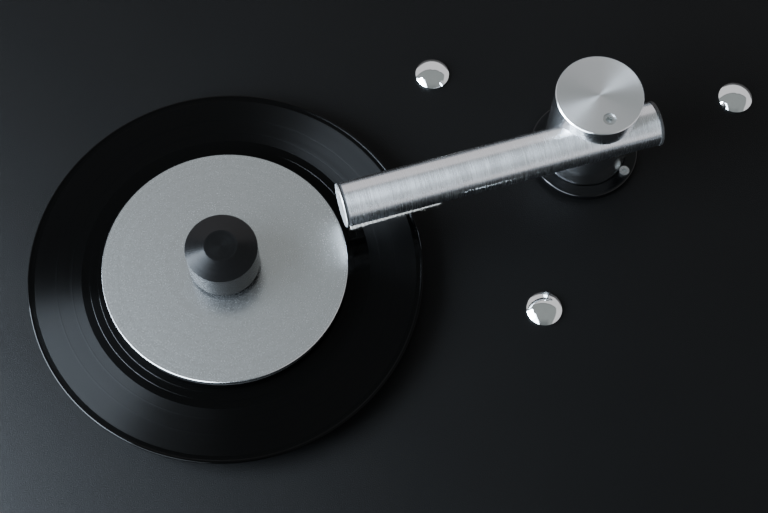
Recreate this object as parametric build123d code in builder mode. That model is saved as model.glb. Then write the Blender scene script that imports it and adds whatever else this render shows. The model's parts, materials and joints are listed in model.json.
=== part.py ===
from build123d import *
import os
from math import cos, radians, sin, tan

os.makedirs("parts", exist_ok=True)

# Record cleaning machine, millimetres, +Z up. The origin is on the floor, under the middle of the whole
# machine, and -Y is the front with the two switches.

# Cabinet
width = 420.0
depth = 340.0
foot_h = 14.0
base_t = 9.0
panel_t = 12.0
deck_t = 3.0
deck_top = 190.0
edge_r = 3.0
front_reach = 6.02  # how far the switches stand out in front
rear_reach = 40.0  # how far the drain stands out behind
mid_y = (front_reach - rear_reach) / 2  # middle of the cabinet itself

# Record, platter and clamp, on the spindle
spindle_x = -55.0
spindle_y = mid_y - 15.0
record_top = 200.0
record_r = 87.3
record_t = 1.6
label_r = 45.0
hole_r = 3.62
spindle_r = 3.56
shaft_r = 5.0
platter_r = 50.0
platter_t = 5.0
mat_t = 1.4
disc_r = 53.8
disc_top = record_top + 5.9
disc_t = 2.9
knob_r = 15.6
knob_low = record_top + 9.1
knob_side_top = record_top + 25.2
knob_top = record_top + 28.0
knob_flat_r = 7.2
hub_r = 10.0
thread_pitch = 1.75
thread_depth = 0.6134 * thread_pitch
spindle_foot = 122.0
spindle_reach = 22.0  # above the record's top

# Suction arm: the post slides and turns in a sleeve, and the tube crosses it in front of its axis
post_x = spindle_x + 156.7
post_y = spindle_y + 77.4
post_r = 19.2
post_top = record_top + 44.5
arm_angle = 201.0  # heading of the tube from the post, anticlockwise from +X
tube_r = 9.77
tube_wall = 1.5
tube_offset = 12.2
tube_z = record_top + 27.7
tube_left = 118.1  # tube's end at the tip, from the post's axis
tube_right = -22.9
tip_face = 119.9
tip_seal_t = 1.3
plug_face = -24.6
plug_r = 10.05
slot_len = 34.0
slot_w = 3.0
felt_len = 42.0
felt_half = 7.2
felt_drop = 1.8  # felt below the lowest line of the tube
fit = 0.06  # radial clearance of running fits

# Waste tank under the post
tank_bolts = [
    (spindle_x + 84.1, spindle_y + 111.3),
    (spindle_x + 227.8, spindle_y + 111.3),
    (spindle_x + 141.9, spindle_y - 2.7),
]
tank_r = 72.0
tank_wall = 3.0
tank_floor = 40.0
flange_r = 90.0
lid_t = 3.5
dome_r = 7.9
dome_h = 4.0

# Sleeve, stem and spring of the lifting post
sleeve_r = 24.2
sleeve_floor = 104.0
floor_t = 6.0
shoulder_z = 165.0
stem_r = 12.0
stem_low = 98.0
washer_t = 2.0
bore_r = 8.0
spring_r = 16.0
wire_r = 1.0
collar_r = 25.1
collar_t = 3.4
collar_round = 1.1
collar_screw_r = 21.7
collar_screw_count = 3
collar_screw_turn = -30.0  # degrees from +X, the one beside the tube's rear end
collar_head_r = 2.35
collar_head_low = 2.2  # underside of the screw heads above the deck
collar_head_h = 2.6
collar_screw_core = 1.22
collar_hole_r = 1.3
collar_shank = 9.0
hex_r = 1.15
hex_depth = 1.4
clamp_sunk = 0.6  # the tube's clamp screw ends this far below the post's top
post_break = 0.35

# Drive train under the platter
gear_module = 1.0
gear_teeth = 48
pinion_teeth = 12
gear_z = 126.0
gear_t = 8.0
motor_x = spindle_x - gear_module * (gear_teeth + pinion_teeth) / 2

# Suction unit, front right
fan_x = 140.0
fan_y = mid_y - 98.0
fan_r = 48.0
fan_low = 84.0
fan_top = 112.0
duct_z = 156.0
duct_r = 14.0

# Switches, in the front panel
switch_z = 136.0
switch_xs = {"rotation": 96.0, "vacuum": 150.0}
rocker_r = 11.0
rocker_half = 6.3
pivot_depth = 5.5
rocker_throw = 12.0

# Rear panel fittings
inlet_x = -130.0
inlet_z = 70.0
drain_z = 54.0

deck_low = deck_top - deck_t
floor_top = foot_h + base_t
front_face = mid_y - depth / 2
rear_face = mid_y + depth / 2
inner_x = width / 2 - panel_t
inner_y = depth / 2 - panel_t
along = Vector(cos(radians(arm_angle)), sin(radians(arm_angle)), 0)
across = Vector(-sin(radians(arm_angle)), cos(radians(arm_angle)), 0)


def save(piece, name):
    """Label a finished piece and write it as its own file."""
    piece.part.label = name
    export_step(piece.part, f"parts/{name}.step")


def tube_plane(distance):
    """Section of the tube: X to the front, Y up, Z towards the tip."""
    origin = Vector(post_x, post_y, tube_z) + across * tube_offset + along * distance
    return Plane(origin=origin, x_dir=across, z_dir=along)


def ring(centre, low, high, outer, inner=0.0):
    """Upright ring or disc with its axis at centre."""
    with BuildPart() as body:
        with BuildSketch(Plane.XY.offset(low)):
            with Locations(centre):
                Circle(outer)
                if inner:
                    Circle(inner, mode=Mode.SUBTRACT)
        extrude(amount=high - low)
    return body


def turned(centre, outline):
    """Solid turned about the upright axis at centre, from (radius, height) corners."""
    plane = Plane(origin=(centre[0], centre[1], 0), x_dir=(1, 0, 0), z_dir=(0, -1, 0))
    with BuildPart() as body:
        with BuildSketch(plane):
            with BuildLine():
                Polyline(*outline, close=True)
            make_face()
        revolve(axis=Axis((centre[0], centre[1], 0), (0, 0, 1)))
    return body


post = (post_x, post_y)
spindle = (spindle_x, spindle_y)
fan = (fan_x, fan_y)

# Cabinet

with BuildPart() as deck_panel:
    with BuildSketch(Plane.XY.offset(deck_low)):
        with Locations((0, mid_y)):
            RectangleRounded(width, depth, edge_r)
        with Locations(post):
            Circle(sleeve_r + 0.1, mode=Mode.SUBTRACT)
        with Locations(spindle):
            Circle(shaft_r + 3, mode=Mode.SUBTRACT)
        with Locations(*tank_bolts):
            Circle(3.2, mode=Mode.SUBTRACT)
    extrude(amount=deck_t)
    top_edges = deck_panel.faces().sort_by(Axis.Z)[-1].outer_wire().edges()
    chamfer(top_edges, 0.8)
save(deck_panel, "deck_panel")


def wall(low_x, high_x, low_y, high_y):
    """Upright cabinet board between the floor line and the deck."""
    with BuildPart() as body:
        with BuildSketch(Plane.XY.offset(foot_h)):
            with Locations(((low_x + high_x) / 2, (low_y + high_y) / 2)):
                Rectangle(high_x - low_x, high_y - low_y)
        extrude(amount=deck_low - foot_h)
    return body


with BuildPart() as front_panel:
    add(wall(-width / 2, width / 2, front_face, front_face + panel_t).part)
    fillet(front_panel.edges().filter_by(Axis.Z).group_by(Axis.Y)[0], edge_r)
    for x in switch_xs.values():
        with BuildSketch(Plane.XZ.offset(-front_face)):
            with Locations((x, switch_z)):
                Rectangle(19.2, 28.2)
        extrude(amount=-panel_t, mode=Mode.SUBTRACT)
save(front_panel, "front_panel")

with BuildPart() as rear_panel:
    add(wall(-width / 2, width / 2, rear_face - panel_t, rear_face).part)
    fillet(rear_panel.edges().filter_by(Axis.Z).group_by(Axis.Y)[-1], edge_r)
    with BuildSketch(Plane.XZ.offset(-rear_face)):
        with Locations((inlet_x, inlet_z)):
            Rectangle(28.4, 20.4)
        with Locations((post_x, drain_z)):
            Circle(6.4)
    extrude(amount=panel_t, mode=Mode.SUBTRACT)
save(rear_panel, "rear_panel")

left_panel = wall(-width / 2, -inner_x, mid_y - inner_y, mid_y + inner_y)
save(left_panel, "left_panel")

grille_w = 90.0
grille_h = 56.0
grille_z = 70.0
grille_t = 1.5
with BuildPart() as right_panel:
    add(wall(inner_x, width / 2, mid_y - inner_y, mid_y + inner_y).part)
    with BuildSketch(Plane.YZ.offset(inner_x)):
        with Locations((fan_y, grille_z)):
            Rectangle(grille_w - 14, grille_h - 14)
    extrude(amount=panel_t, mode=Mode.SUBTRACT)
    with BuildSketch(Plane.YZ.offset(width / 2)):
        with Locations((fan_y, grille_z)):
            RectangleRounded(grille_w + 0.4, grille_h + 0.4, 4)
    extrude(amount=-grille_t, mode=Mode.SUBTRACT)
save(right_panel, "right_panel")

with BuildPart() as exhaust_grille:
    with BuildSketch(Plane.YZ.offset(width / 2)):
        with Locations((fan_y, grille_z)):
            RectangleRounded(grille_w, grille_h, 4)
            with GridLocations(6.4, 0, 11, 1):
                SlotOverall(grille_h - 20, 2.8, rotation=90, mode=Mode.SUBTRACT)
    extrude(amount=-grille_t)
save(exhaust_grille, "exhaust_grille")

feet_spots = [(x, mid_y + y) for x in (-170, 170) for y in (-130, 130)]

with BuildPart() as base_panel:
    with BuildSketch(Plane.XY.offset(foot_h)):
        with Locations((0, mid_y)):
            Rectangle(2 * inner_x, 2 * inner_y)
        with Locations(*feet_spots):
            Circle(2.1, mode=Mode.SUBTRACT)
    extrude(amount=base_t)
save(base_panel, "base_panel")

block = 20.0
with BuildPart() as corner_blocks:
    with BuildSketch(Plane.XY.offset(floor_top)):
        for side_x in (-1, 1):
            for side_y in (-1, 1):
                with Locations((side_x * (inner_x - block / 2), mid_y + side_y * (inner_y - block / 2))):
                    Rectangle(block, block)
    extrude(amount=deck_low - floor_top)
save(corner_blocks, "corner_blocks")

with BuildPart() as feet:
    for spot in feet_spots:
        with BuildSketch():
            with Locations(spot):
                Circle(13)
        extrude(amount=foot_h, taper=-6)
    fillet(feet.edges().filter_by(GeomType.CIRCLE).group_by(Axis.Z)[0], 1.5)
    for spot in feet_spots:
        with Locations(Plane(origin=(spot[0], spot[1], 0), x_dir=(1, 0, 0), z_dir=(0, 0, -1))):
            CounterBoreHole(2.1, 5.0, 6.0, depth=foot_h)
save(feet, "feet")

with BuildPart() as foot_screws:
    for spot in feet_spots:
        with BuildSketch(Plane.XY.offset(3.4)):
            with Locations(spot):
                Circle(4.4)
        extrude(amount=2.6)
        with BuildSketch(Plane.XY.offset(6)):
            with Locations(spot):
                Circle(2.0)
        extrude(amount=foot_h + base_t - 7)
save(foot_screws, "foot_screws")

# Waste tank

lid_low = deck_low - lid_t
flange_top = lid_low - 2.0
flange_low = flange_top - 3.5

with BuildPart() as tank_lid:
    with BuildSketch(Plane.XY.offset(lid_low)):
        with Locations(post):
            Circle(flange_r)
            Circle(sleeve_r + 0.1, mode=Mode.SUBTRACT)
        with Locations(*tank_bolts):
            Circle(3.2, mode=Mode.SUBTRACT)
    extrude(amount=lid_t)
save(tank_lid, "tank_lid")

with BuildPart() as tank_seal:
    with BuildSketch(Plane.XY.offset(flange_top)):
        with Locations(post):
            Circle(flange_r - 0.5)
            Circle(tank_r - tank_wall, mode=Mode.SUBTRACT)
        with Locations(*tank_bolts):
            Circle(3.2, mode=Mode.SUBTRACT)
    extrude(amount=lid_low - flange_top)
save(tank_seal, "tank_seal")

heading = Vector(fan_x - post_x, fan_y - post_y, 0).normalized()
duct_start = Vector(post_x, post_y, duct_z) + heading * (tank_r - tank_wall - 1)

with BuildPart() as tank_body:
    add(turned(
        post,
        [
            (0, tank_floor),
            (tank_r, tank_floor),
            (tank_r, flange_low),
            (flange_r, flange_low),
            (flange_r, flange_top),
            (tank_r - tank_wall, flange_top),
            (tank_r - tank_wall, tank_floor + tank_wall),
            (0, tank_floor + tank_wall),
        ],
    ).part)
    with BuildSketch(Plane.XY.offset(flange_low)):
        with Locations(*tank_bolts):
            Circle(3.2)
    extrude(amount=flange_top - flange_low, mode=Mode.SUBTRACT)
    with BuildSketch(Plane(origin=duct_start, x_dir=(0, 0, 1), z_dir=heading)):
        Circle(duct_r)
    extrude(amount=tank_wall + 14)
    with BuildSketch(Plane(origin=duct_start - heading * 2, x_dir=(0, 0, 1), z_dir=heading)):
        Circle(duct_r - 2)
    extrude(amount=tank_wall + 20, mode=Mode.SUBTRACT)
    with BuildSketch(Plane.XZ.offset(-(post_y + tank_r + 6))):
        with Locations((post_x, drain_z)):
            Circle(6.05)
    extrude(amount=20, mode=Mode.SUBTRACT)
save(tank_body, "tank_body")

dome_rim = 0.8
dome_round = (dome_r**2 + (dome_h - dome_rim) ** 2) / (2 * (dome_h - dome_rim))
screw_len = deck_top - flange_low + 9
with BuildPart() as tank_screw:
    with BuildSketch(Plane.XZ):
        with BuildLine():
            Polyline((0, dome_h), (0, -screw_len), (3, -screw_len), (3, 0), (dome_r, 0), (dome_r, dome_rim))
            RadiusArc((dome_r, dome_rim), (0, dome_h), -dome_round)
        make_face()
    revolve(axis=Axis.Z)
with BuildPart() as tank_screws:
    with Locations(*[(x, y, deck_top) for x, y in tank_bolts]):
        add(tank_screw.part)
save(tank_screws, "tank_screws")

# Sleeve and lifting post

with BuildPart() as lift_sleeve:
    add(turned(
        post,
        [
            (stem_r + fit, sleeve_floor),
            (sleeve_r, sleeve_floor),
            (sleeve_r, deck_top),
            (post_r + fit, deck_top),
            (post_r + fit, sleeve_floor + floor_t),
            (stem_r + fit, sleeve_floor + floor_t),
        ],
    ).part)
    with BuildSketch(Plane.XY.offset(deck_top)):
        with Locations(post):
            with PolarLocations(collar_screw_r, collar_screw_count, start_angle=collar_screw_turn):
                Circle(collar_hole_r)
    extrude(amount=-collar_shank, mode=Mode.SUBTRACT)
save(lift_sleeve, "lift_sleeve")

collar_top = deck_top + collar_t
with BuildPart() as arm_collar:
    add(turned(
        post,
        [
            (post_r + fit, deck_top),
            (collar_r, deck_top),
            (collar_r, collar_top),
            (post_r + fit + 0.5, collar_top),
            (post_r + fit, collar_top - 0.5),
        ],
    ).part)
    top_rings = edges().filter_by(GeomType.CIRCLE).group_by(Axis.Z)[-1]
    fillet(top_rings.sort_by(SortBy.RADIUS)[-1], collar_round)
    with BuildSketch(Plane.XY.offset(deck_top)):
        with Locations(post):
            with PolarLocations(collar_screw_r, collar_screw_count, start_angle=collar_screw_turn):
                Circle(collar_hole_r)
    extrude(amount=collar_t, mode=Mode.SUBTRACT)
    with BuildSketch(Plane.XY.offset(deck_top + collar_head_low)):
        with Locations(post):
            with PolarLocations(collar_screw_r, collar_screw_count, start_angle=collar_screw_turn):
                Circle(collar_head_r + 0.05)
    extrude(amount=collar_t, mode=Mode.SUBTRACT)
save(arm_collar, "arm_collar")

with BuildPart() as collar_screws:
    head_low = deck_top + collar_head_low
    for k in range(collar_screw_count):
        turn = radians(collar_screw_turn + 360 * k / collar_screw_count)
        spot = (post_x + collar_screw_r * cos(turn), post_y + collar_screw_r * sin(turn))
        with BuildSketch(Plane.XY.offset(head_low)):
            with Locations(spot):
                Circle(collar_head_r)
        extrude(amount=collar_head_h)
        with BuildSketch(Plane.XY.offset(head_low)):
            with Locations(spot):
                Circle(collar_screw_core)
        extrude(amount=-collar_shank)
        with BuildSketch(Plane.XY.offset(head_low + collar_head_h)):
            with Locations(spot):
                RegularPolygon(hex_r, 6)
        extrude(amount=-hex_depth, mode=Mode.SUBTRACT)
save(collar_screws, "collar_screws")

screw_spot = (post_x + across.X * tube_offset, post_y + across.Y * tube_offset)
with BuildPart() as arm_post:
    add(turned(
        post,
        [
            (bore_r, stem_low),
            (stem_r, stem_low),
            (stem_r, shoulder_z),
            (post_r, shoulder_z),
            (post_r, post_top - post_break),
            (post_r - post_break, post_top),
            (0, post_top),
            (0, tube_z),
            (bore_r, tube_z),
        ],
    ).part)
    with BuildSketch(tube_plane(-post_r - 6)):
        Circle(tube_r + 0.03)
    extrude(amount=2 * post_r + 12, mode=Mode.SUBTRACT)
    with BuildSketch(Plane.XY.offset(post_top)):
        with Locations(screw_spot):
            Circle(2.8)
    extrude(amount=-(post_top - tube_z), mode=Mode.SUBTRACT)
save(arm_post, "arm_post")

with BuildPart() as tube_clamp_screw:
    with BuildSketch(Plane.XY.offset(tube_z + tube_r)):
        with Locations(screw_spot):
            Circle(2.72)
    extrude(amount=post_top - clamp_sunk - tube_z - tube_r)
    with BuildSketch(Plane.XY.offset(post_top - clamp_sunk)):
        with Locations(screw_spot):
            RegularPolygon(1.5, 6)
    extrude(amount=-2.6, mode=Mode.SUBTRACT)
save(tube_clamp_screw, "tube_clamp_screw")

retaining_ring = ring(post, sleeve_floor - 2.3, sleeve_floor - 0.1, stem_r + 4, stem_r)
save(retaining_ring, "retaining_ring")

lift_washer = ring(post, shoulder_z - washer_t, shoulder_z, post_r - 0.1, stem_r + fit)
save(lift_washer, "lift_washer")

spring_low = sleeve_floor + floor_t
spring_high = shoulder_z - washer_t
turns = 8
pitch = (spring_high - spring_low - 2 * wire_r) / turns
with BuildPart() as lift_spring:
    with BuildLine() as coil:
        Helix(pitch, pitch * turns, spring_r, center=(post_x, post_y, spring_low + wire_r))
    with BuildSketch(Plane(origin=coil.wires()[0] @ 0, z_dir=coil.wires()[0] % 0)):
        Circle(wire_r)
    sweep(path=coil.wires()[0], is_frenet=True)
save(lift_spring, "lift_spring")

# Suction arm

with BuildPart() as arm_tube:
    with BuildSketch(tube_plane(tube_right)):
        Circle(tube_r)
        Circle(tube_r - tube_wall, mode=Mode.SUBTRACT)
    extrude(amount=tube_left - tube_right)
    with BuildSketch(Plane(origin=tube_plane(0).origin, x_dir=along, z_dir=(0, 0, -1))):
        with Locations((tube_left - 4 - slot_len / 2, 0)):
            SlotOverall(slot_len, slot_w)
        with Locations((0, tube_offset - 6)):
            Circle(3.4)
    extrude(amount=tube_r + 1, mode=Mode.SUBTRACT)
save(arm_tube, "arm_tube")

with BuildPart() as tip_seal:
    with BuildSketch(tube_plane(tube_left)):
        Circle(tube_r - 0.5)
    extrude(amount=tip_seal_t)
save(tip_seal, "tip_seal")

with BuildPart() as tip_cap:
    with BuildSketch(tube_plane(tube_left + tip_seal_t)):
        Circle(tube_r)
    extrude(amount=tip_face - tube_left - tip_seal_t)
    chamfer(tip_cap.faces().sort_by(Axis((0, 0, 0), tuple(along)))[-1].edges(), 0.3)
save(tip_cap, "tip_cap")

with BuildPart() as rear_plug:
    with BuildSketch(tube_plane(tube_right)):
        Circle(plug_r)
    extrude(amount=plug_face - tube_right)
    fillet(rear_plug.edges(), 0.4)
    with BuildSketch(tube_plane(tube_right)):
        Circle(tube_r - tube_wall - 0.05)
    extrude(amount=7)
save(rear_plug, "rear_plug")

with BuildPart() as felt_strips:
    for side in (-1, 1):
        with BuildSketch(tube_plane(tube_left - felt_len)):
            with Locations((side * (felt_half + slot_w / 2 + 0.3) / 2, -tube_r - felt_drop + 3.2)):
                Rectangle(felt_half - slot_w / 2 - 0.3, 6.4)
            Circle(tube_r, mode=Mode.SUBTRACT)
        extrude(amount=felt_len - 0.4)
save(felt_strips, "felt_strips")

# Drain

drain_centre = (post_x, drain_z)
tap_y = rear_face + 15
plug_hole_r = 5.0

with BuildPart() as drain_pipe:
    with BuildSketch(Plane.XZ.offset(-(rear_face))):
        with Locations(drain_centre):
            Circle(6.0)
            Circle(4.2, mode=Mode.SUBTRACT)
    extrude(amount=rear_face - post_y - tank_r + tank_wall + 1)
save(drain_pipe, "drain_pipe")

with BuildPart() as drain_valve:
    with BuildSketch(Plane.XZ.offset(-rear_face)):
        with Locations(drain_centre):
            Circle(14)
    extrude(amount=-3)
    with BuildSketch(Plane.XZ.offset(-rear_face - 3)):
        with Locations(drain_centre):
            Circle(9)
    extrude(amount=-22)
    with BuildSketch(Plane.XZ.offset(-rear_face - 25)):
        with Locations(drain_centre):
            Circle(5)
    extrude(amount=-(rear_reach - 25))
    with BuildSketch(Plane.XZ.offset(-rear_face)):
        with Locations(drain_centre):
            Circle(3.2)
    extrude(amount=-rear_reach, mode=Mode.SUBTRACT)
    with BuildSketch(Plane.XY.offset(drain_z - 7)):
        with Locations((post_x, tap_y)):
            Circle(plug_hole_r)
    extrude(amount=30, mode=Mode.SUBTRACT)
save(drain_valve, "drain_valve")

with BuildPart() as tap_plug:
    with BuildSketch(Plane.XY.offset(drain_z - 6.8)):
        with Locations((post_x, tap_y)):
            Circle(plug_hole_r - fit)
    extrude(amount=19)
    with BuildSketch(Plane.YZ.offset(post_x - 8)):
        with Locations((tap_y, drain_z)):
            Circle(3.2)
    extrude(amount=16, mode=Mode.SUBTRACT)
save(tap_plug, "tap_plug")

with BuildPart() as tap_lever:
    with BuildSketch(Plane.XY.offset(drain_z + 12.2)):
        with Locations((post_x, tap_y)):
            Circle(7)
        with Locations((post_x + 13, tap_y)):
            SlotOverall(34, 8)
    extrude(amount=4)
    fillet(tap_lever.edges().group_by(Axis.Z)[-1], 1.2)
save(tap_lever, "tap_lever")

# Suction unit

can_r = 36.0
can_low = floor_top
with BuildPart() as suction_motor:
    with BuildSketch(Plane.XY.offset(can_low)):
        with Locations(fan):
            Circle(can_r)
    extrude(amount=fan_low - can_low)
    with BuildSketch(Plane.XY.offset(fan_low)):
        with Locations(fan):
            Circle(4 + fit)
    extrude(amount=-30, mode=Mode.SUBTRACT)
save(suction_motor, "suction_motor")

with BuildPart() as fan_case:
    add(turned(
        fan,
        [
            (6, fan_low),
            (fan_r, fan_low),
            (fan_r, fan_top),
            (duct_r, fan_top),
            (duct_r, fan_top + 16),
            (duct_r - 2, fan_top + 16),
            (duct_r - 2, fan_top - 3),
            (fan_r - 3, fan_top - 3),
            (fan_r - 3, fan_low + 3),
            (6, fan_low + 3),
        ],
    ).part)
    with BuildSketch(Plane.YZ.offset(fan_x + fan_r - 6)):
        with Locations((fan_y, (fan_low + fan_top) / 2)):
            Rectangle(30, 12)
    extrude(amount=12, mode=Mode.SUBTRACT)
save(fan_case, "fan_case")

fan_shaft = ring(fan, fan_low - 26, fan_low + 18, 4)
save(fan_shaft, "fan_shaft")

with BuildPart() as impeller:
    with BuildSketch(Plane.XY.offset(fan_low + 6)):
        with Locations(fan):
            Circle(42)
            Circle(4, mode=Mode.SUBTRACT)
    extrude(amount=2)
    with BuildSketch(Plane.XY.offset(fan_low + 8)):
        with Locations(fan):
            Circle(9)
            Circle(4, mode=Mode.SUBTRACT)
            with PolarLocations(26, 9):
                Rectangle(28, 1.6, rotation=24)
    extrude(amount=10)
save(impeller, "impeller")

hose_end = Vector(fan_x, fan_y, fan_top + 2)
with BuildPart() as suction_hose:
    with BuildLine() as route:
        FilletPolyline(
            duct_start + heading * (tank_wall + 2),
            Vector(fan_x, fan_y, duct_z),
            hose_end,
            radius=26,
        )
    with BuildSketch(Plane(origin=route.wires()[0] @ 0, x_dir=(0, 0, 1), z_dir=heading)):
        Circle(duct_r + 3)
        Circle(duct_r + 0.05, mode=Mode.SUBTRACT)
    sweep(path=route.wires()[0])
save(suction_hose, "suction_hose")

# Platter drive

bearing_housing = turned(
    spindle,
    [
        (shaft_r + fit, 146),
        (14, 146),
        (14, deck_low - 4),
        (26, deck_low - 4),
        (26, deck_low),
        (shaft_r + fit, deck_low),
    ],
)
save(bearing_housing, "bearing_housing")

platter_top = record_top - record_t - mat_t
platter_low = platter_top - platter_t

spindle_pin = turned(
    spindle,
    [
        (0, spindle_foot),
        (shaft_r, spindle_foot),
        (shaft_r, platter_low),
        (spindle_r, platter_low),
        (spindle_r, record_top + spindle_reach - thread_depth),
        (spindle_r - thread_depth, record_top + spindle_reach),
        (0, record_top + spindle_reach),
    ],
)
save(spindle_pin, "spindle_pin")

spindle_clip = ring(spindle, 143.6, 145.8, 8, shaft_r)
save(spindle_clip, "spindle_clip")

with BuildPart() as platter:
    with BuildSketch(Plane.XY.offset(platter_low)):
        with Locations(spindle):
            Circle(platter_r)
            Circle(spindle_r, mode=Mode.SUBTRACT)
    extrude(amount=platter_t)
    chamfer(platter.edges().filter_by(GeomType.CIRCLE).sort_by(SortBy.RADIUS)[-2:], 0.6)
save(platter, "platter")

platter_mat = ring(spindle, platter_top, platter_top + mat_t, platter_r + 1.5, hole_r)
save(platter_mat, "platter_mat")


def gear(centre, teeth, bore, phase):
    """Spur gear with straight-flanked teeth; phase is the angle of the first tooth."""
    pitch_radius = gear_module * teeth / 2
    root = pitch_radius - 1.2 * gear_module
    tip = pitch_radius + 0.85 * gear_module
    half_root = 0.98 * gear_module
    half_tip = 0.3 * gear_module
    with BuildPart() as body:
        with BuildSketch(Plane.XY.offset(gear_z)):
            with Locations(centre):
                Circle(root)
                with PolarLocations(root - 0.3, teeth, start_angle=phase):
                    Polygon(
                        (0, -half_root),
                        (tip - root + 0.3, -half_tip),
                        (tip - root + 0.3, half_tip),
                        (0, half_root),
                        align=None,
                    )
                if bore:
                    Circle(bore, mode=Mode.SUBTRACT)
        extrude(amount=gear_t)
    return body


pinion_centre = (motor_x, spindle_y)
drive_gear = gear(spindle, gear_teeth, shaft_r, 180)
save(drive_gear, "drive_gear")

plate_low = gear_z - 7
with BuildPart() as pinion:
    add(gear(pinion_centre, pinion_teeth, 0, 180 / pinion_teeth).part)
    add(ring(pinion_centre, plate_low - 20, gear_z + gear_t + 2, 3.0).part)
save(pinion, "pinion")

with BuildPart() as gear_motor:
    with BuildSketch(Plane.XY.offset(plate_low - 62)):
        with Locations(pinion_centre):
            Circle(20)
    extrude(amount=62)
    fillet(gear_motor.edges().filter_by(GeomType.CIRCLE).sort_by(Axis.Z)[0], 2)
    with BuildSketch(Plane.XY.offset(plate_low)):
        with Locations(pinion_centre):
            Circle(3 + fit)
    extrude(amount=-25, mode=Mode.SUBTRACT)
save(gear_motor, "gear_motor")

plate_x = spindle_x - 15
standoff_spots = [(plate_x + x, spindle_y + y) for x in (-46, 46) for y in (-32, 32)]
with BuildPart() as motor_bracket:
    with BuildSketch(Plane.XY.offset(plate_low)):
        with Locations((plate_x, spindle_y)):
            RectangleRounded(108, 80, 8)
        with Locations(pinion_centre):
            Circle(6, mode=Mode.SUBTRACT)
        with Locations(*standoff_spots):
            Circle(2.1, mode=Mode.SUBTRACT)
    extrude(amount=2)
save(motor_bracket, "motor_bracket")

with BuildPart() as standoffs:
    with BuildSketch(Plane.XY.offset(plate_low + 2)):
        with Locations(*standoff_spots):
            RegularPolygon(5, 6)
    extrude(amount=deck_low - plate_low - 2)
save(standoffs, "standoffs")

# Record and clamp

label_t = 0.1
record = turned(
    spindle,
    [
        (hole_r, record_top - record_t),
        (record_r - 0.5, record_top - record_t),
        (record_r, record_top - record_t + 0.5),
        (record_r, record_top - 0.4),
        (record_r - 0.4, record_top),
        (label_r, record_top),
        (label_r, record_top - label_t),
        (hole_r, record_top - label_t),
    ],
)
save(record, "record")

record_label = ring(spindle, record_top - label_t, record_top, label_r, hole_r)
save(record_label, "record_label")

disc_low = disc_top - disc_t
clamp_seal = ring(spindle, record_top, disc_low, disc_r - 0.8, disc_r - 5)
save(clamp_seal, "clamp_seal")

with BuildPart() as clamp_disc:
    with BuildSketch(Plane.XY.offset(disc_low)):
        with Locations(spindle):
            Circle(disc_r)
            Circle(hub_r + fit, mode=Mode.SUBTRACT)
    extrude(amount=disc_t)
    chamfer(clamp_disc.edges().filter_by(GeomType.CIRCLE).sort_by(SortBy.RADIUS)[-2:], 0.25)
save(clamp_disc, "clamp_disc")

knob_bore = 3.62
clamp_knob = turned(
    spindle,
    [
        (knob_bore, record_top + 0.8),
        (hub_r, record_top + 0.8),
        (hub_r, disc_top),
        (hub_r + 2.2, disc_top),
        (hub_r + 2.2, knob_low),
        (knob_r - 0.5, knob_low),
        (knob_r, knob_low + 0.5),
        (knob_r, knob_side_top),
        (knob_flat_r, knob_top),
        (0, knob_top),
        (0, record_top + 23),
        (knob_bore, record_top + 23),
    ],
)
save(clamp_knob, "clamp_knob")

clamp_clip = ring(spindle, disc_low - 1.5, disc_low - 0.1, hub_r + 2, hub_r)
save(clamp_clip, "clamp_clip")

# Switches

housing_half_w = 9.4
housing_half_h = 13.8
cavity_half_w = rocker_half + 0.3
cavity_half_h = rocker_r + 0.4
bezel_t = 2.0


def switch_housing(x):
    """Snap-in switch body with its bezel and the well that the rocker turns in."""
    face = front_face - bezel_t
    with BuildPart() as body:
        with BuildSketch(Plane.XZ.offset(-front_face)):
            with Locations((x, switch_z)):
                RectangleRounded(2 * housing_half_w + 3, 2 * housing_half_h + 3, 2)
        extrude(amount=bezel_t)
        chamfer(body.faces().sort_by(Axis.Y)[0].edges(), 0.5)
        with BuildSketch(Plane.XZ.offset(-front_face)):
            with Locations((x, switch_z)):
                Rectangle(2 * housing_half_w, 2 * housing_half_h)
        extrude(amount=-24)
        with BuildSketch(Plane.XZ.offset(-face)):
            with Locations((x, switch_z)):
                Rectangle(2 * cavity_half_w, 2 * cavity_half_h)
        extrude(amount=-19, mode=Mode.SUBTRACT)
        with BuildSketch(Plane.YZ.offset(x - housing_half_w + 0.8)):
            with Locations((face + pivot_depth, switch_z)):
                Circle(1.5 + fit)
        extrude(amount=2 * housing_half_w - 1.6, mode=Mode.SUBTRACT)
    return body


def rocker(x, tilt):
    """Rocker with its two pivot stubs; its well-shaped face leans by tilt degrees."""
    pivot = (x, front_face - bezel_t + pivot_depth, switch_z)
    lean = Plane(origin=pivot, x_dir=(0, -cos(radians(tilt)), sin(radians(tilt))), z_dir=(-1, 0, 0))
    dip = 6.6
    rise = dip + rocker_r * tan(radians(rocker_throw))
    with BuildPart() as body:
        with BuildSketch(lean) as outline:
            Circle(rocker_r)
            with BuildLine():
                Polyline((-2, -12), (rise, -12), (dip, 0), (rise, 12), (-2, 12), close=True)
            make_face(mode=Mode.INTERSECT)
        extrude(amount=rocker_half, both=True)
        with BuildSketch(lean):
            Circle(1.5)
        extrude(amount=housing_half_w - 1.2, both=True)
    return body


for name, x in switch_xs.items():
    save(switch_housing(x), f"{name}_switch_housing")

save(rocker(switch_xs["rotation"], 0), "rotation_rocker")
save(rocker(switch_xs["vacuum"], -rocker_throw), "vacuum_rocker")

# Mains inlet and board

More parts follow.
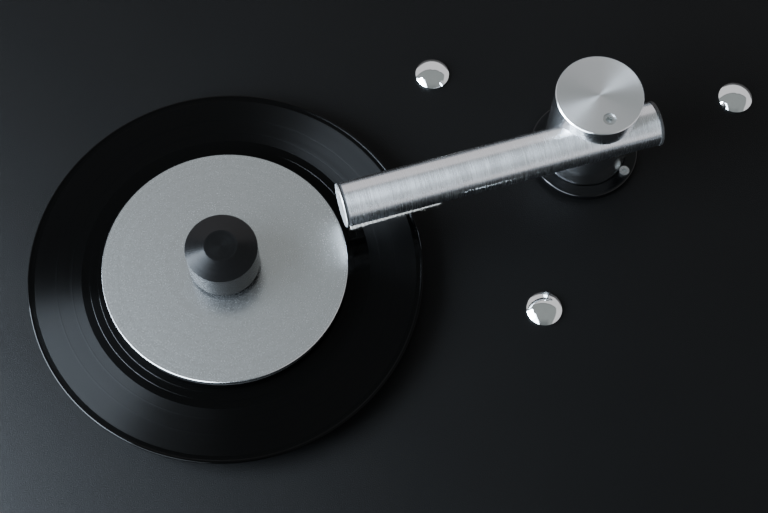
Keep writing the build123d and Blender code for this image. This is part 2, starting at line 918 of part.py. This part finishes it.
socket_depth = 17.0
with BuildPart() as mains_inlet:
    with BuildSketch(Plane.XZ.offset(-rear_face)):
        with Locations((inlet_x, inlet_z)):
            RectangleRounded(48, 24, 4)
    extrude(amount=-2.5)
    with BuildSketch(Plane.XZ.offset(-rear_face)):
        with Locations((inlet_x, inlet_z)):
            Rectangle(28, 20)
    extrude(amount=20)
    with BuildSketch(Plane.XZ.offset(-rear_face - 2.5)):
        with Locations((inlet_x, inlet_z)):
            Rectangle(24, 16)
    extrude(amount=socket_depth, mode=Mode.SUBTRACT)
save(mains_inlet, "mains_inlet")

with BuildPart() as inlet_pins:
    with BuildSketch(Plane.XZ.offset(-(rear_face + 2.5 - socket_depth))):
        with Locations((inlet_x - 7, inlet_z - 2), (inlet_x + 7, inlet_z - 2), (inlet_x, inlet_z + 3.5)):
            Rectangle(2, 4)
    extrude(amount=-13)
save(inlet_pins, "inlet_pins")

board = (-150.0, mid_y + 100.0)
with BuildPart() as control_board:
    with BuildSketch(Plane.XY.offset(floor_top + 6)):
        with Locations(board):
            Rectangle(70, 56)
    extrude(amount=1.6)
    with BuildSketch(Plane.XY.offset(floor_top)):
        with Locations(board):
            with GridLocations(60, 46, 2, 2):
                Circle(3)
    extrude(amount=6)
    with BuildSketch(Plane.XY.offset(floor_top + 7.6)):
        with Locations((board[0] - 16, board[1])):
            Rectangle(22, 18)
        with Locations((board[0] + 16, board[1] + 10)):
            Rectangle(16, 12)
    extrude(amount=14)
save(control_board, "control_board")

with BuildPart() as run_capacitor:
    add(ring((board[0] + 60, board[1]), floor_top, floor_top + 52, 16).part)
    fillet(run_capacitor.edges().filter_by(GeomType.CIRCLE).sort_by(Axis.Z)[-1], 2)
save(run_capacitor, "run_capacitor")
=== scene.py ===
import math
import random
import bpy
import bmesh
from mathutils import Matrix, Vector
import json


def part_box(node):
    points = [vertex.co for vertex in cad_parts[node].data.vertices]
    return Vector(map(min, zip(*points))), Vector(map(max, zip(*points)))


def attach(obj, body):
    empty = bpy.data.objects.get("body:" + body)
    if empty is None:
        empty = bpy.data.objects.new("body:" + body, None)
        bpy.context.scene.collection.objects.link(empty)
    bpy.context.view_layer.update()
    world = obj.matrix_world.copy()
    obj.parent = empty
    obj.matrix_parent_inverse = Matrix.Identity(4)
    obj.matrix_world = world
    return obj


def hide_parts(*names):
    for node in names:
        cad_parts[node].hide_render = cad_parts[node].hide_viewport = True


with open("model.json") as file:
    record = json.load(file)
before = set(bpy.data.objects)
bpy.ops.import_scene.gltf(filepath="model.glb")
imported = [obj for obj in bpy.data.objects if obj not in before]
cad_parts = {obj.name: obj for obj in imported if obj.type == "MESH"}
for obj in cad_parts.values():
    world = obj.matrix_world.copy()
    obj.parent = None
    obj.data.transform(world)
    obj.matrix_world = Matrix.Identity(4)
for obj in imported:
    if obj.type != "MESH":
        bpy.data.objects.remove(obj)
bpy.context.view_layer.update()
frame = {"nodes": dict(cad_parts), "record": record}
nodes = frame["nodes"]
random.seed(7)
print("frame loaded:", len(nodes), "nodes")


def middle(node):
    low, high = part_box(node)
    return (low + high) / 2


# places read from the frame, in metres
recordTop = Vector((middle("record").x, middle("record").y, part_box("record")[1].z))
seal = middle("tip_seal")
plug = middle("rear_plug")
tubeHeading = Vector((seal.x - plug.x, seal.y - plug.y, 0)).normalized()  # from the post to the tip
tubeFront = Vector((-tubeHeading.y, tubeHeading.x, 0))
tubeCentre = Vector((seal.x, seal.y, middle("arm_tube").z))
tubeRadius = tubeCentre.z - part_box("arm_tube")[0].z

cameraView = {
    "place": (0.080334, -0.235447, 0.610726),  # from the middle of the record's top
    "down": 67.892,
    "turn": 2.6276,
    "roll": 2.136,
    "lens": 69.606,
    "sensor": 36,
    "near": 0.01,
}


def makeCamera(v):
    down, turn, roll = (math.radians(v[k]) for k in ("down", "turn", "roll"))
    ahead = Vector((-math.sin(turn) * math.cos(down), math.cos(turn) * math.cos(down), -math.sin(down)))
    level = Vector((math.cos(turn), math.sin(turn), 0))
    upright = level.cross(ahead)
    right = math.cos(roll) * level + math.sin(roll) * upright
    up = right.cross(ahead)
    data = bpy.data.cameras.new("camera")
    data.lens = v["lens"]
    data.sensor_width = v["sensor"]
    data.clip_start = v["near"]
    camera = bpy.data.objects.new("camera", data)
    bpy.context.scene.collection.objects.link(camera)
    turned = Matrix((right, up, -ahead)).transposed().to_4x4()
    camera.matrix_world = Matrix.Translation(recordTop + Vector(v["place"])) @ turned
    bpy.context.scene.camera = camera


makeCamera(cameraView)
print("camera set")


def plugIn(tree, slot, value):
    if isinstance(value, Sock):
        tree.links.new(value.out, slot)
    elif not hasattr(slot.default_value, "__len__"):
        slot.default_value = value
    else:
        value = (value,) * 3 if isinstance(value, (int, float)) else tuple(value)
        slot.default_value = value + (1.0,) * (len(slot.default_value) - len(value))


def calculate(tree, kind, *values):
    node = tree.nodes.new("ShaderNodeMath")
    node.operation = kind
    for slot, value in zip(node.inputs, values):
        plugIn(tree, slot, value)
    return Sock(tree, node.outputs[0])


class Sock:
    # a node's output that takes Python's arithmetic
    def __init__(self, tree, out):
        self.tree = tree
        self.out = out

    def __add__(self, other):
        return calculate(self.tree, "ADD", self, other)

    def __radd__(self, other):
        return calculate(self.tree, "ADD", other, self)

    def __sub__(self, other):
        return calculate(self.tree, "SUBTRACT", self, other)

    def __rsub__(self, other):
        return calculate(self.tree, "SUBTRACT", other, self)

    def __mul__(self, other):
        return calculate(self.tree, "MULTIPLY", self, other)

    def __rmul__(self, other):
        return calculate(self.tree, "MULTIPLY", other, self)

    def __pow__(self, other):
        return calculate(self.tree, "POWER", self, other)

    def __abs__(self):
        return calculate(self.tree, "ABSOLUTE", self)


def findInput(node, key):
    # "in3" means the fourth input, anything else is an input's name
    if key[:2] == "in" and key[2:].isdigit():
        return node.inputs[int(key[2:])]
    return node.inputs[key]


class Finish:
    # the nodes of one material, or of the world
    def __init__(self, owner):
        owner.use_nodes = True
        self.owner = owner
        self.tree = owner.node_tree
        self.tree.nodes.clear()

    def node(self, kind, settings=None, out=0, **sockets):
        made = self.tree.nodes.new("ShaderNode" + kind)
        for key, value in (settings or {}).items():
            setattr(made, key, value)
        for key, value in sockets.items():
            plugIn(self.tree, findInput(made, key), value)
        return Sock(self.tree, made.outputs[out])

    def place(self):
        # object coordinates, in metres
        return self.node("TexCoord", out=3)

    def parts(self, vector):
        made = self.tree.nodes.new("ShaderNodeSeparateXYZ")
        plugIn(self.tree, made.inputs[0], vector)
        return [Sock(self.tree, out) for out in made.outputs]

    def around(self, centre):
        # distance from the upright line through centre, and height above centre
        x, y, z = self.parts(self.node("VectorMath", {"operation": "SUBTRACT"}, in0=self.place(), in1=centre))
        return (x * x + y * y) ** 0.5, z

    def noise(self, vector, scale, detail=3, rough=0.5):
        return self.node("TexNoise", Vector=vector, Scale=scale, Detail=detail, Roughness=rough)

    def scaled(self, vector, by):
        return self.node("VectorMath", {"operation": "MULTIPLY"}, in0=vector, in1=by)

    def beyond(self, vector, edge):
        return self.node("VectorMath", {"operation": "DOT_PRODUCT"}, out=1, in0=vector, in1=edge)

    def mixed(self, factor, a, b):
        return self.node("Mix", {"data_type": "RGBA"}, out=2, in0=factor, in6=a, in7=b)

    def level(self, value, low, high, start=0.0, end=1.0):
        return self.node("MapRange", in0=value, in1=low, in2=high, in3=start, in4=end)

    def bump(self, height, distance, strength=1.0):
        return self.node("Bump", Height=height, Distance=distance, Strength=strength)

    def done(self, **sockets):
        shader = self.tree.nodes.new("ShaderNodeBsdfPrincipled")
        for key, value in sockets.items():
            plugIn(self.tree, shader.inputs[key.replace("_", " ")], value)
        output = self.tree.nodes.new("ShaderNodeOutputMaterial")
        self.tree.links.new(shader.outputs[0], output.inputs[0])
        return self.owner


def finishNamed(name):
    return Finish(bpy.data.materials.new(name))


def asObject(name, bm, smooth=True, sharp=35):
    mesh = bpy.data.meshes.new(name)
    bmesh.ops.recalc_face_normals(bm, faces=bm.faces)
    bm.to_mesh(mesh)
    bm.free()
    made = bpy.data.objects.new(name, mesh)
    bpy.context.scene.collection.objects.link(made)
    if smooth:
        mesh.shade_smooth()
        mesh.set_sharp_from_angle(angle=math.radians(sharp))
    return made


def lathe(name, centre, profile, steps, sharp):
    # closed profile of (radius, height) corners turned about the upright axis at centre
    bm = bmesh.new()
    turn = [2 * math.pi * k / steps for k in range(steps)]
    rings = []
    for radius, height in profile:
        circle = [(centre.x + radius * math.cos(a), centre.y + radius * math.sin(a), height) for a in turn]
        rings.append([bm.verts.new(point) for point in circle])
    for lower, upper in zip(rings, rings[1:] + rings[:1]):
        for k in range(steps):
            n = (k + 1) % steps
            bm.faces.new((lower[k], lower[n], upper[n], upper[k]))
    return asObject(name, bm, sharp=sharp)


def arcPoints(centre, radius, start, end, count):
    turn = [math.radians(start + (end - start) * k / count) for k in range(count + 1)]
    return [(centre[0] + radius * math.cos(a), centre[1] + radius * math.sin(a)) for a in turn]


def wear(node, material):
    slots = nodes[node].data.materials
    if not len(slots):
        slots.append(material)
    for k in range(len(slots)):
        slots[k] = material


def dress(piece, material, body, replaced):
    piece.data.materials.append(material)
    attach(piece, body)
    if replaced:
        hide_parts(*replaced)


# fine powder coat on the deck: grain and cloud are spots per metre, depth is in metres
coat = {
    "grain": 2400,
    "cloud": 9,
    "colour": 0.0006,
    "rough": 0.42,
    "depth": 0.00011,
    "shine": 0.15,
}


def makeCoat(name, c):
    f = finishNamed(name)
    p = f.place()
    fine = f.noise(p, c["grain"], 2, 0.6)
    cloud = f.noise(p, c["cloud"])
    return f.done(
        Base_Color=f.mixed(f.level(fine, 0.3, 0.7), c["colour"] * 0.8, c["colour"] * 1.25),
        Roughness=c["rough"] + 0.08 * (cloud - 0.5) + 0.1 * (fine - 0.5),
        Normal=f.bump(fine, c["depth"]),
        Specular_IOR_Level=c["shine"],
    )


wear("deck_panel", makeCoat("deckCoat", coat))

boards = {"colour": 0.012, "rough": 0.38}
grille = {"colour": 0.014, "rough": 0.45}


def makeLacquer(name, c):
    f = finishNamed(name)
    p = f.place()
    peel = f.noise(p, 420, 2)
    cloud = f.noise(p, 12)
    return f.done(
        Base_Color=f.mixed(cloud, c["colour"] * 0.8, c["colour"] * 1.2),
        Roughness=c["rough"] + 0.1 * (cloud - 0.5),
        Normal=f.bump(peel, 0.00003, 0.5),
    )


lacquer = makeLacquer("boardLacquer", boards)
for panel in ("front_panel", "rear_panel", "left_panel", "right_panel"):
    wear(panel, lacquer)
wear("exhaust_grille", makeLacquer("grillePaint", grille))


# plain finishes, each shared by all parts of one material: grain is spots per metre, depth is in microns
def makeGrainy(name, dark, light, rough, grain, depth, metallic=0.0):
    f = finishNamed(name)
    p = f.place()
    fine = f.noise(p, grain, 3, 0.6)
    cloud = f.noise(p, grain / 40)
    return f.done(
        Base_Color=f.mixed(0.5 * fine + 0.5 * cloud, dark, light),
        Roughness=rough + 0.16 * (cloud - 0.5),
        Metallic=metallic,
        Normal=f.bump(fine, depth / 1000000, 0.6),
    )


def makeAlloy(name, dark, light, rough, grain=500, depth=10):
    return makeGrainy(name, dark, light, rough, grain, depth, metallic=1.0)


def makeBoard(name, dark, light):
    f = finishNamed(name)
    grain = f.noise(f.scaled(f.place(), (1, 14, 14)), 22, 6, 0.65)
    return f.done(Base_Color=f.mixed(grain, dark, light), Roughness=0.7, Normal=f.bump(grain, 0.0002, 0.5))


blackRubber = makeGrainy("blackRubber", 0.010, 0.022, rough=0.72, grain=1400, depth=40)
blackPlastic = makeGrainy("blackPlastic", 0.012, 0.024, rough=0.42, grain=1600, depth=30)
rockerPlastic = makeGrainy("rockerPlastic", 0.010, 0.018, rough=0.18, grain=500, depth=5)
nylon = makeGrainy("whiteNylon", [0.70, 0.69, 0.64], [0.82, 0.81, 0.77], rough=0.45, grain=300, depth=20)
tankWhite = makeGrainy("tankPlastic", [0.66, 0.66, 0.61], [0.80, 0.80, 0.76], rough=0.5, grain=260, depth=40)
leverRed = makeGrainy("redPlastic", [0.36, 0.02, 0.012], [0.5, 0.035, 0.02], rough=0.35, grain=800, depth=20)
green = makeGrainy("boardGreen", [0.012, 0.10, 0.035], [0.02, 0.16, 0.06], rough=0.3, grain=300, depth=20)
paper = makeGrainy("labelPaper", [0.60, 0.54, 0.40], [0.72, 0.66, 0.52], rough=0.85, grain=900, depth=20)
stock = {
    "rubber_black": blackRubber,
    "mat_rubber": blackRubber,
    "fan_plastic": blackPlastic,
    "switch_plastic": blackPlastic,
    "plug_black": blackPlastic,
    "rocker_plastic": rockerPlastic,
    "nylon_white": nylon,
    "tank_plastic": tankWhite,
    "lever_plastic": leverRed,
    "board_green": green,
    "label_paper": paper,
    "zinc_steel": makeAlloy("zincPlate", [0.50, 0.52, 0.52], [0.72, 0.74, 0.74], rough=0.26, grain=700),
    "spring_steel": makeAlloy("springSteel", 0.30, 0.46, rough=0.3, grain=900),
    "spindle_steel": makeAlloy("groundSteel", 0.5, 0.66, rough=0.22, grain=1500, depth=5),
    "brass": makeAlloy("turnedBrass", [0.62, 0.43, 0.18], [0.78, 0.58, 0.28], rough=0.27, grain=900),
    "impeller_aluminium": makeAlloy("impellerAlloy", 0.55, 0.7, rough=0.35, depth=20),
    "can_aluminium": makeAlloy("canAlloy", 0.55, 0.68, rough=0.3),
    "nickel_brass": makeAlloy("nickelPlate", [0.60, 0.57, 0.52], [0.76, 0.73, 0.68], rough=0.16, depth=6),
    "fibreboard": makeBoard("fibreboard", [0.26, 0.17, 0.10], [0.42, 0.29, 0.18]),
    "pine": makeBoard("pineBlock", [0.50, 0.34, 0.18], [0.70, 0.52, 0.32]),
}
for part in frame["record"]["subparts"]:
    if part["material_slot"] in stock:
        wear(part["node"], stock[part["material_slot"]])
print("stock finishes on")


# turned parts: rings about the upright axis, with the highlight drawn out across them
turned = {
    "arm_post": {
        "name": "turnedPost",
        "colour": (0.86, 0.88, 0.90),
        "rough": 0.25,
        "stretch": 0.9,
        "depth": 0.000002,
        "speck": 0.0,
        "side": 0.11,  # how much smoother the side is
        "sideFrom": 0.019,
    },
    "clamp_disc": {
        "name": "satinDisc",
        "colour": (0.67, 0.685, 0.69),
        "rough": 0.24,
        "stretch": 0.0,
        "depth": 0.000001,
        "speck": 0.2,
        "side": 0.0,
        "sideFrom": 1.0,
    },
    "platter": {
        "name": "turnedPlatter",
        "colour": (0.62, 0.62, 0.63),
        "rough": 0.3,
        "stretch": 0.6,
        "depth": 0.000004,
        "speck": 0.0,
        "side": 0.0,
        "sideFrom": 1.0,
    },
}


def makeTurned(node, t):
    f = finishNamed(t["name"])
    at = middle(node)
    radius, height = f.around((at.x, at.y, 0))
    rings = f.noise(f.node("CombineXYZ", X=radius, Y=height * 0.35, Z=0), 2600, 2, 0.7)
    grain = f.noise(f.place(), 1900, 2, 0.6)
    smoother = t["side"] * f.level(radius, t["sideFrom"] - 0.0001, t["sideFrom"])
    return f.done(
        Base_Color=f.mixed(0.3 * rings + 0.7 * grain, [c * 0.88 for c in t["colour"]], t["colour"]),
        Metallic=1.0,
        Roughness=t["rough"] - smoother + 0.05 * (rings - 0.5) + t["speck"] * (grain - 0.5),
        Anisotropic=t["stretch"],
        Anisotropic_Rotation=0.25,
        Normal=f.bump(rings, t["depth"], 0.5),
    )


for node, look in turned.items():
    wear(node, makeTurned(node, look))

# drawn tube: its marks run round the girth
brushing = {
    "colour": (0.80, 0.81, 0.83),
    "rough": 0.27,
    "stretch": 0.85,
    "marks": 1900,
    "bands": 160,
    "depth": 0.000006,
}


def makeBrushedTube(name, b):
    f = finishNamed(name)
    x, y, z = f.parts(f.place())
    marks = f.noise(f.node("CombineXYZ", X=z, Y=x * 0.03, Z=y * 0.03), b["marks"], 3, 0.7)
    bands = f.noise(f.node("CombineXYZ", X=z, Y=x * 0.2, Z=y * 0.2), b["bands"], 3, 0.6)
    return f.done(
        Base_Color=f.mixed(marks, [c * 0.84 for c in b["colour"]], b["colour"]),
        Metallic=1.0,
        Roughness=b["rough"] + 0.12 * (marks - 0.5) + 0.1 * (bands - 0.5),
        Anisotropic=b["stretch"],
        Anisotropic_Rotation=0.25,
        Normal=f.bump(marks, b["depth"], 0.6),
    )


def makeTube():
    # the same tube with its own Z laid along it, which its finish goes by
    axes = Matrix((tubeFront, tubeFront.cross(-tubeHeading), tubeHeading)).transposed().to_4x4()
    tubeFrame = Matrix.Translation(tubeCentre) @ axes
    bm = bmesh.new()
    bm.from_mesh(nodes["arm_tube"].data)
    bm.transform(tubeFrame.inverted() @ nodes["arm_tube"].matrix_world)
    made = asObject("drawn_tube", bm, sharp=25)
    made.matrix_world = tubeFrame
    return made


dress(makeTube(), makeBrushedTube("drawnTube", brushing), "arm", ["arm_tube"])
wear("tip_cap", makeAlloy("facedTip", [0.44, 0.45, 0.45], [0.58, 0.59, 0.59], rough=0.38, grain=1200))

# black anodised knob and collar
anodised = {
    "clamp_knob": {"name": "blackKnob", "rough": 0.24, "stretch": 0.4},
    "arm_collar": {"name": "blackCollar", "rough": 0.16, "stretch": 0.3},
}


def makeAnodised(node, a):
    f = finishNamed(a["name"])
    at = middle(node)
    radius, height = f.around((at.x, at.y, 0))
    rings = f.noise(f.node("CombineXYZ", X=radius, Y=height * 0.3, Z=0), 1700, 2, 0.7)
    return f.done(
        Base_Color=f.mixed(rings, [0.0006, 0.0006, 0.0007], [0.0012, 0.0012, 0.0013]),
        Roughness=a["rough"] + 0.12 * (rings - 0.5),
        Anisotropic=a["stretch"],
        Anisotropic_Rotation=0.25,
        Specular_IOR_Level=0.27,
        Normal=f.bump(rings, 0.000006, 0.5),
    )


for node, look in anodised.items():
    wear(node, makeAnodised(node, look))

chrome = {
    "dark": (0.74, 0.77, 0.77),
    "light": (0.86, 0.88, 0.88),
    "rough": (0.03, 0.09),
    "depth": 0.00003,
}


def makeChrome(name, c):
    f = finishNamed(name)
    p = f.place()
    haze = f.noise(p, 260, 4, 0.6)
    fine = f.noise(p, 1800, 2)
    return f.done(
        Base_Color=f.mixed(haze, c["dark"], c["light"]),
        Metallic=1.0,
        Roughness=f.level(haze, 0.35, 0.75, *c["rough"]),
        Normal=f.bump(haze * 0.8 + fine * 0.2, c["depth"], 0.35),
    )


wear("tank_screws", makeChrome("polishedChrome", chrome))
print("metals on")

# the record, in metres from its middle and its top
vinyl = {
    "rim": 0.0873,
    "bead": 0.0858,
    "groove": 0.0841,
    "gaps": (0.0746, 0.0679),  # between tracks, each a low flat ridge
    "gapFoot": 0.0004,
    "gapTop": 0.0002,
    "gapRise": 0.00002,
    "end": 0.0636,
    "label": 0.045,
    "hole": 0.00362,
    "thick": 0.0016,
    "sunk": 0.00025,
    "leadIn": {"turns": 5, "half": 0.00012, "deep": 0.00001},
    "leadOut": {"turns": 3, "half": 0.0001, "deep": 0.00006, "step": 0.0035},
    "steps": 384,
    "black": (0.0002, 0.0004),
    "rough": 0.14,
    "grooveRough": 0.24,
}


def cut(at, flat, lead):
    return [(at + lead["half"], flat), (at, flat - lead["deep"]), (at - lead["half"], flat)]


def recordProfile(v):
    top = recordTop.z
    low = top - v["thick"]
    flat = top - v["sunk"]
    half = v["thick"] / 2
    beadWidth = v["rim"] - half - v["bead"]
    bead = [(v["bead"] + beadWidth * k / 4, flat + v["sunk"] * math.sin(k / 8 * math.pi)) for k in range(4)]
    profile = [(v["hole"], low)] + arcPoints((v["rim"] - half, low + half), half, -90, 90, 12) + bead[::-1]
    turns = v["leadIn"]["turns"]
    for k in range(turns):
        profile += cut(v["groove"] + (v["bead"] - v["groove"]) * (1 - (k + 0.5) / turns), flat, v["leadIn"])
    for gap in v["gaps"]:
        raised = flat + v["gapRise"]
        profile += [(gap + v["gapFoot"], flat), (gap + v["gapTop"], raised)]
        profile += [(gap - v["gapTop"], raised), (gap - v["gapFoot"], flat)]
    profile += [(v["end"], flat)]
    for k in range(v["leadOut"]["turns"]):
        profile += cut(v["end"] - v["leadOut"]["step"] * (k + 1), flat, v["leadOut"])
    profile += [(v["label"] + 0.0006, flat), (v["label"] + 0.0002, top), (v["label"], top)]
    profile += [(v["label"], top - 0.0001), (v["hole"], top - 0.0001)]
    return profile


def makeVinyl(name, v):
    f = finishNamed(name)
    radius, height = f.around(recordTop)
    inGroove = f.level(radius, v["end"] - 0.0002, v["end"] + 0.0002)
    inGroove = inGroove * f.level(radius, v["groove"] + 0.0002, v["groove"] - 0.0002)
    for gap in v["gaps"]:
        # gaps between tracks are a little rougher
        inGroove = inGroove * (1.35 - 0.35 * f.level(abs(radius - gap), 0.0002, 0.00045))
    across = f.node("CombineXYZ", X=radius, Y=0, Z=0)
    grooves = f.noise(across, 6500, 3, 0.8)
    bands = f.noise(across, 420, 3, 0.6)
    return f.done(
        Base_Color=f.mixed(bands, *v["black"]),
        Roughness=v["rough"] + inGroove * (v["grooveRough"] + 0.16 * (bands - 0.5)),
        Anisotropic=1.0,
        Anisotropic_Rotation=0.25,
        Specular_IOR_Level=0.1,
        Normal=f.bump(grooves * inGroove, 0.000025, 0.8),
    )


record = lathe("grooved_record", recordTop, recordProfile(vinyl), vinyl["steps"], sharp=2.5)
dress(record, makeVinyl("pressedVinyl", vinyl), "platter", ["record"])
print("record made")

# two felt strips under the tube, in metres from its axis
felt = {
    "in": 0.0018,
    "out": 0.0072,
    "taper": 0.0007,  # narrower at the end towards the post
    "drop": 0.0018,  # below the tube
    "run": 0.0412,
    "slices": 84,
    "around": 10,
    "hairs": 1500,
    "reach": 0.0018,
    "thin": 0.00003,
    "dark": (0.24, 0.22, 0.19),
    "light": (0.60, 0.57, 0.51),
}
feltEnd = (middle("felt_strips") - tubeCentre).dot(tubeHeading) + felt["run"] / 2


def makeFeltCloth(name, c):
    f = finishNamed(name)
    p = f.place()
    wool = f.noise(p, 2600, 4, 0.75)
    patch = f.noise(p, 500)
    return f.done(
        Base_Color=f.mixed(0.6 * wool + 0.4 * patch, c["dark"], c["light"]),
        Roughness=0.95,
        Sheen_Weight=0.4,
        Normal=f.bump(wool, 0.0003),
    )


def feltPoint(along, across, height):
    # along the tube from the tip seal, across towards the front, height above the tube's axis
    return tubeCentre + tubeHeading * along + tubeFront * across + Vector((0, 0, height))


def makeFelt(c):
    bottom = -tubeRadius - c["drop"]
    bm = bmesh.new()
    for side in (-1, 1):
        rings = []
        for i in range(c["slices"] + 1):
            back = i / c["slices"]
            along = feltEnd - c["run"] * back
            width = c["out"] - c["taper"] * back - c["in"]
            swell = 0.00012 * math.sin(i * 1.7 + side) + 0.0001 * random.uniform(-1, 1)
            under = []
            over = []
            for k in range(c["around"] + 1):
                t = k / c["around"]
                across = c["in"] + width * t
                fall = bottom + 0.0004 * (2 * t - 1) ** 4 + 0.00008 * random.uniform(-1, 1)
                roof = -math.sqrt(tubeRadius ** 2 - across ** 2) - 0.00003
                under.append(feltPoint(along, side * (across + swell * t), fall))
                over.append(feltPoint(along, side * (across + swell * t), roof))
            rings.append([bm.verts.new(point) for point in under + over[::-1]])
        for a, b in zip(rings, rings[1:]):
            for k in range(len(a)):
                n = (k + 1) % len(a)
                bm.faces.new((a[k], a[n], b[n], b[k]))
        bm.faces.new(rings[0])
        bm.faces.new(rings[-1])
    return asObject("felt_pads", bm)


def makeHairs(c):
    # stray wool along the cut edges, more of it in front, as thin three-sided blades
    bm = bmesh.new()
    for k in range(c["hairs"]):
        side = 1 if k % 3 else -1
        back = random.uniform(0, 1)
        across = side * (c["out"] - c["taper"] * back - 0.0002)
        height = -tubeRadius - random.uniform(-0.0012, c["drop"] - 0.0001)
        root = feltPoint(feltEnd - c["run"] * back, across, height)
        lean = tubeFront * side * random.uniform(0.3, 1) + tubeHeading * random.uniform(-0.9, 0.9)
        lean += Vector((0, 0, random.uniform(-0.25, 0.4)))
        tip = root + lean.normalized() * c["reach"] * random.uniform(0.25, 1) ** 2
        tip.z = max(tip.z, tubeCentre.z - tubeRadius - c["drop"])
        width = c["thin"] * random.uniform(0.8, 1.6)
        rise = Vector((0, 0, width))
        corners = [
            root + tubeHeading * width,
            root - tubeHeading * width * 0.5 + rise,
            root - tubeHeading * width * 0.5 - rise,
        ]
        base = [bm.verts.new(corner) for corner in corners]
        end = bm.verts.new(tip)
        bm.faces.new(base)
        for a, b in ((0, 1), (1, 2), (2, 0)):
            bm.faces.new((base[a], base[b], end))
    return asObject("felt_hairs", bm, smooth=False)


feltCloth = makeFeltCloth("woolFelt", felt)
dress(makeFelt(felt), feltCloth, "arm", ["felt_strips"])
dress(makeHairs(felt), feltCloth, "arm", [])
print("felt made")

ground = {"size": 15, "dark": 0.10, "light": 0.115, "rough": 0.6}


def makeFloor(g):
    bm = bmesh.new()
    bmesh.ops.create_grid(bm, x_segments=1, y_segments=1, size=g["size"])
    floor = asObject("floor", bm, smooth=False)
    f = finishNamed("paleFloor")
    shade = f.mixed(f.noise(f.place(), 3), g["dark"], g["light"])
    floor.data.materials.append(f.done(Base_Color=shade, Roughness=g["rough"]))


# a room round the machine: pale ceiling, brighter walls behind and to the right, dark front, and a big
# window on the left, whose far and upper edges are planes through the machine
room = {
    "ceiling": (0.325, 0.345, 0.345),
    "wall": (0.88, 0.86, 0.88),
    "front": (0.10, 0.11, 0.12),
    "window": (0.84, 0.96, 1.09),
    "glow": 14.0,
    "rearRise": 1.42,
    "rightRise": 0.6,
    "windowRear": (0.253, 1.0, 0.531),
    "windowTop": (1.0, 0.19, 0.797),
}


def makeRoom(r):
    world = bpy.data.worlds.new("room")
    bpy.context.scene.world = world
    f = Finish(world)
    towards = f.node("TexCoord")
    x, y, z = f.parts(towards)
    overRear = z - r["rearRise"] * y
    overRight = z - r["rightRise"] * x
    onRear = f.level(overRear, 0.02, -0.02)
    onRight = f.level(overRight, 0.02, -0.02)
    wall = calculate(f.tree, "MAXIMUM", onRear, onRight)
    joint = f.level(abs(overRear), 0.09, 0.03) * f.level(overRight, -0.02, 0.02)
    front = f.level(y + 0.2 * x, -0.15, -0.6) * f.level(z, 0.8, 0.25) * f.level(x, 0.5, 0.3)
    window = f.level(f.beyond(towards, r["windowRear"]), 0.01, -0.01)
    window = window * f.level(f.beyond(towards, r["windowTop"]), 0.01, -0.01)
    window = window * f.level(z, 0.04, 0.06) * f.level(x, -0.06, -0.08)
    tone = f.mixed(wall, r["ceiling"], r["wall"])
    tone = f.mixed(joint * 0.6, tone, r["front"])
    tone = f.mixed(front, tone, r["front"])
    tone = f.mixed(window, tone, f.scaled(r["window"], [r["glow"]] * 3))
    glow = f.tree.nodes.new("ShaderNodeBackground")
    output = f.tree.nodes.new("ShaderNodeOutputWorld")
    plugIn(f.tree, glow.inputs[0], tone)
    f.tree.links.new(glow.outputs[0], output.inputs[0])


# the near part of the window, close enough to fall off across the deck
pane = {
    "azimuth": 200,
    "rise": 35,
    "far": 0.6,
    "size": (0.5, 0.34),
    "glow": 60.0,
    "tint": (0.82, 0.96, 1.12),
}


def makePane(w):
    turn, rise = math.radians(w["azimuth"]), math.radians(w["rise"])
    towards = Vector((math.cos(turn) * math.cos(rise), math.sin(turn) * math.cos(rise), math.sin(rise)))
    data = bpy.data.lights.new("pane", "AREA")
    data.shape = "RECTANGLE"
    data.size, data.size_y = w["size"]
    data.energy = w["glow"] * math.pi * data.size * data.size_y
    data.color = w["tint"]
    lamp = bpy.data.objects.new("pane", data)
    bpy.context.scene.collection.objects.link(lamp)
    facing = towards.to_track_quat("Z", "Y").to_matrix().to_4x4()
    lamp.matrix_world = Matrix.Translation(recordTop + towards * w["far"]) @ facing


makeFloor(ground)
makeRoom(room)
makePane(pane)
print("lights set")
